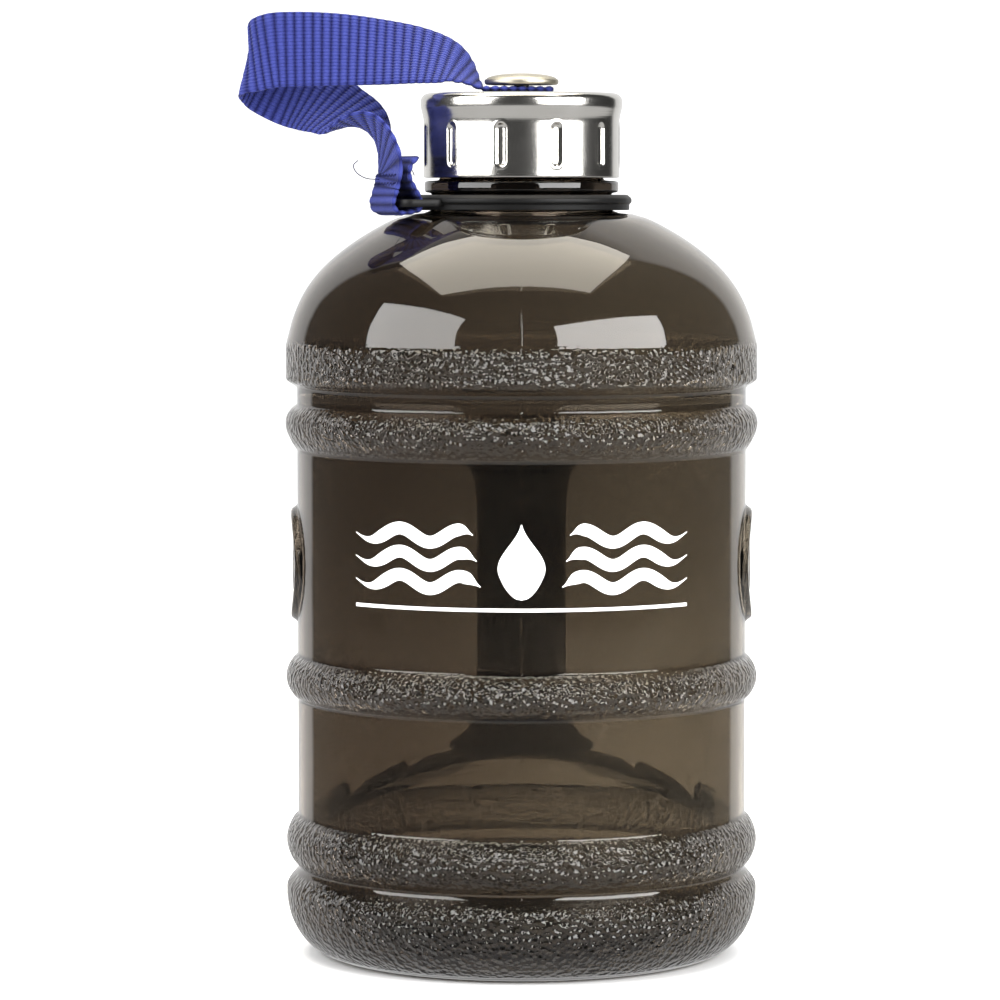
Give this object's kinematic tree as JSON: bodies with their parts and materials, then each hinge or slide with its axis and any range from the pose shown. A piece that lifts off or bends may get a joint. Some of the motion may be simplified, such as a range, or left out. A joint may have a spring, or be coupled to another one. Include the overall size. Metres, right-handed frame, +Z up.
{
  "type": "large water jug",
  "caption": "Large ribbed translucent water jug with a moulded-in rear handle, a round steel screw cap, and a webbing strap from cap to neck ring.",
  "frame": {"origin": "on the jug's vertical axis, at the base; the foot ring stands on z = 0", "axes": "+Z up along the axis, -Y is the plain front, +Y the handle side, -X the side the strap hangs out on"},
  "size_m": [0.1397, 0.1268, 0.2527],
  "materials": {
    "bottle": "smoke-tinted translucent moulded plastic, glossy, with pebbled ribs",
    "cap_steel": "drawn sheet steel, satin to bright",
    "cap_plastic": "black moulded plastic",
    "seal": "soft grey sealing ring",
    "rivet_metal": "plated, slightly warm",
    "ring_plastic": "black flexible plastic",
    "webbing": "blue ribbed webbing, 20 mm wide"
  },
  "bodies": {
    "bottle": {"bottle_body": "bottle"},
    "cap_pivot": {"rivet": "rivet_metal", "rivet_washer": "rivet_metal"},
    "cap": {"cap_shell": "cap_steel", "cap_liner": "cap_plastic", "cap_gasket": "seal"},
    "neck_ring": {"neck_ring": "ring_plastic", "strap_lower": "webbing"},
    "strap_top": {"strap_upper": "webbing"}
  },
  "joints": [
    {"name": "cap_lift", "type": "slide", "parent": "bottle", "child": "cap_pivot", "axis": [0, 0, 1], "range_m": [0, 0.0091]},
    {"name": "cap_turn", "type": "hinge", "parent": "cap_pivot", "child": "cap", "pos_m": [0, 0, 0.208], "axis": [0, 0, 1], "range_deg": [0, 540]},
    {"name": "ring_swivel", "type": "hinge", "parent": "bottle", "child": "neck_ring", "pos_m": [0, 0, 0.202], "axis": [0, 0, 1], "continuous": true},
    {"name": "strap_lift", "type": "slide", "parent": "neck_ring", "child": "strap_top", "axis": [0, 0, 1], "range_m": [0, 0.0091]}
  ],
  "couplings": [
    {"joint": "cap_lift", "follows": "cap_turn", "m_per_rad": 0.00095493},
    {"joint": "strap_lift", "follows": "cap_turn", "m_per_rad": 0.00095493}
  ]
}
